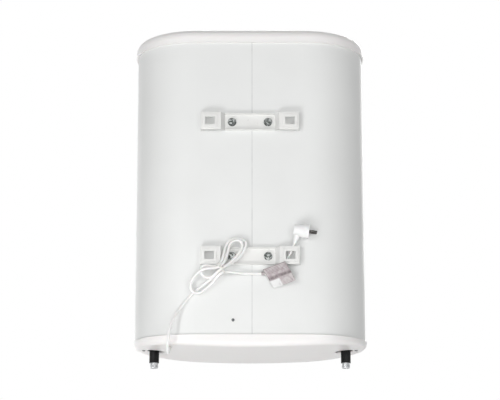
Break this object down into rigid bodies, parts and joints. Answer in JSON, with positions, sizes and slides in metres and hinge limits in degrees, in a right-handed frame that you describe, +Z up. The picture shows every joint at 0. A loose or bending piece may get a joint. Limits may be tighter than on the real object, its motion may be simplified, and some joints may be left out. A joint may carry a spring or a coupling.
{
  "type": "tank water heater",
  "caption": "Flat wall-hung electric storage water heater with rounded casing, hook brackets, threaded water pipes below, front dial controls and a tied mains cord with a plug.",
  "frame": {"origin": "in the wall plane, midway between the two hook windows of the upper bracket", "axes": "+Z up along the heater's height, +Y towards the wall, +X along its width; the room is at -Y"},
  "size_m": [0.578, 0.3781, 0.826],
  "materials": {
    "white_enamel": "gloss",
    "white_cap": "satin",
    "bracket_coat": "satin",
    "dark_zinc": "satin",
    "bright_zinc": "satin",
    "tank_steel": "satin",
    "black_plastic": "satin",
    "foam": "matte",
    "gasket_rubber": "matte",
    "copper_sheath": "satin",
    "magnesium": "matte",
    "brass": "satin",
    "panel_grey": "satin",
    "control_black": "satin",
    "rocker_red": "gloss",
    "lamp_green": "gloss",
    "lamp_amber": "gloss",
    "gauge_chrome": "polished",
    "dial_white": "matte",
    "needle_red": "satin",
    "clear_lens": "gloss",
    "block_plastic": "matte",
    "wire_coat": "satin",
    "cord_white": "satin",
    "tie_white": "satin",
    "tag_foil": "satin",
    "plug_white": "satin",
    "pin_nickel": "satin"
  },
  "bodies": {
    "heater": {"outer_jacket": "white_enamel", "top_cap": "white_cap", "bottom_cap": "white_cap", "cap_screws": "dark_zinc", "jacket_screw": "bright_zinc", "upper_bracket": "bracket_coat", "lower_bracket": "bracket_coat", "upper_tank_rail": "tank_steel", "lower_tank_rail": "tank_steel", "bracket_bolts": "dark_zinc", "bracket_washers": "dark_zinc", "rail_weld_nuts": "tank_steel", "transfer_pipe": "tank_steel", "cold_tank": "tank_steel", "hot_tank": "tank_steel", "cold_flange": "bright_zinc", "hot_flange": "bright_zinc", "cold_flange_gasket": "gasket_rubber", "hot_flange_gasket": "gasket_rubber", "cold_flange_bolts": "bright_zinc", "hot_flange_bolts": "bright_zinc", "cold_heating_element": "copper_sheath", "hot_heating_element": "copper_sheath", "cold_anode_rod": "magnesium", "hot_anode_rod": "magnesium", "cold_thermometer_pocket": "brass", "hot_thermometer_pocket": "brass", "cold_pipe_sleeve": "black_plastic", "hot_pipe_sleeve": "black_plastic", "cold_inlet_pipe": "bright_zinc", "hot_outlet_pipe": "bright_zinc", "inlet_diffuser": "block_plastic", "outlet_standpipe": "block_plastic", "foam_insulation": "foam", "control_panel": "panel_grey", "thermostat": "control_black", "switch_body": "control_black", "power_lamp": "lamp_green", "heating_lamp": "lamp_amber", "thermometer_case": "gauge_chrome", "thermometer_dial": "dial_white", "thermometer_lens": "clear_lens", "terminal_block": "block_plastic", "thermal_cutout": "control_black", "internal_wiring": "wire_coat", "thermostat_capillary": "copper_sheath", "cord_gland": "black_plastic", "cord_hank": "cord_white", "cord_lead": "cord_white", "cord_tail": "cord_white", "cord_tie": "tie_white", "cord_tag": "tag_foil", "plug_body": "plug_white", "plug_pins": "pin_nickel", "plug_earth_clips": "pin_nickel"},
    "knob": {"temperature_knob": "control_black", "knob_spindle": "bright_zinc"},
    "rocker": {"power_rocker": "rocker_red"},
    "needle": {"thermometer_needle": "needle_red"},
    "reset": {"reset_button": "rocker_red"}
  },
  "joints": [
    {"name": "knob_turn", "type": "hinge", "parent": "heater", "child": "knob", "pos_m": [0, -0.344, -0.44], "axis": [0, 1, 0], "range_deg": [0, 270]},
    {"name": "rocker_tilt", "type": "hinge", "parent": "heater", "child": "rocker", "pos_m": [0.045, -0.341, -0.44], "axis": [-1, 0, 0], "range_deg": [0, 16]},
    {"name": "needle_sweep", "type": "hinge", "parent": "heater", "child": "needle", "pos_m": [-0.059, -0.344, -0.44], "axis": [0, 1, 0], "range_deg": [0, 240], "stiffness_Nm_per_rad": 0.0005},
    {"name": "reset_press", "type": "slide", "parent": "heater", "child": "reset", "axis": [0, 0, 1], "range_m": [0, 0.002], "stiffness_N_per_m": 800}
  ]
}
